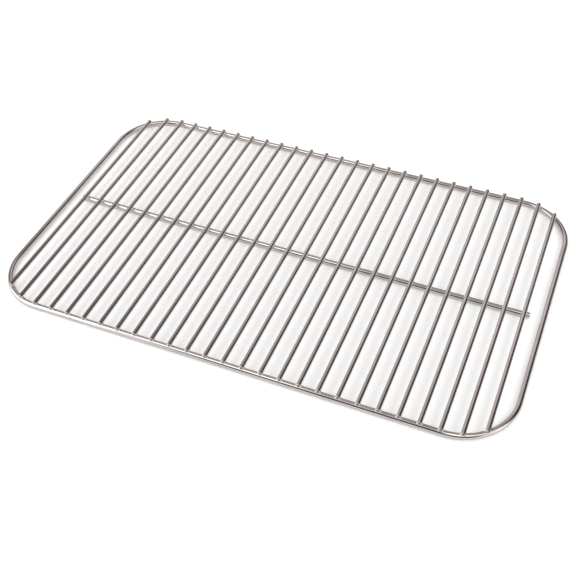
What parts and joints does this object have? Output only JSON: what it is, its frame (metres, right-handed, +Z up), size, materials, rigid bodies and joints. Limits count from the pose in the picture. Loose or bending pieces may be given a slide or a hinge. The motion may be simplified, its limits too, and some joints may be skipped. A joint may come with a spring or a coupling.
{
  "type": "gas grill cooking grate",
  "caption": "Flat rectangular wire cooking grate for a gas grill: parallel round steel bars welded across a wire frame with rounded corners and a centre brace.",
  "frame": {"origin": "middle of the underside, in the plane that the frame ring rests on", "axes": "+X across the bars along the longer side, +Y along the bars from front to back, +Z up"},
  "size_m": [0.4492, 0.273, 0.0081],
  "materials": {
    "frame_wire": "drawn stainless wire, polished",
    "bar_wire": "drawn stainless wire, polished"
  },
  "bodies": {
    "root": {"frame_ring": "frame_wire", "centre_brace": "frame_wire", "cooking_bar_01": "bar_wire", "cooking_bar_02": "bar_wire", "cooking_bar_03": "bar_wire", "cooking_bar_04": "bar_wire", "cooking_bar_05": "bar_wire", "cooking_bar_06": "bar_wire", "cooking_bar_07": "bar_wire", "cooking_bar_08": "bar_wire", "cooking_bar_09": "bar_wire", "cooking_bar_10": "bar_wire", "cooking_bar_11": "bar_wire", "cooking_bar_12": "bar_wire", "cooking_bar_13": "bar_wire", "cooking_bar_14": "bar_wire", "cooking_bar_15": "bar_wire", "cooking_bar_16": "bar_wire", "cooking_bar_17": "bar_wire", "cooking_bar_18": "bar_wire", "cooking_bar_19": "bar_wire", "cooking_bar_20": "bar_wire", "cooking_bar_21": "bar_wire", "cooking_bar_22": "bar_wire", "cooking_bar_23": "bar_wire", "cooking_bar_24": "bar_wire", "cooking_bar_25": "bar_wire", "cooking_bar_26": "bar_wire", "cooking_bar_27": "bar_wire"}
  },
  "joints": []
}
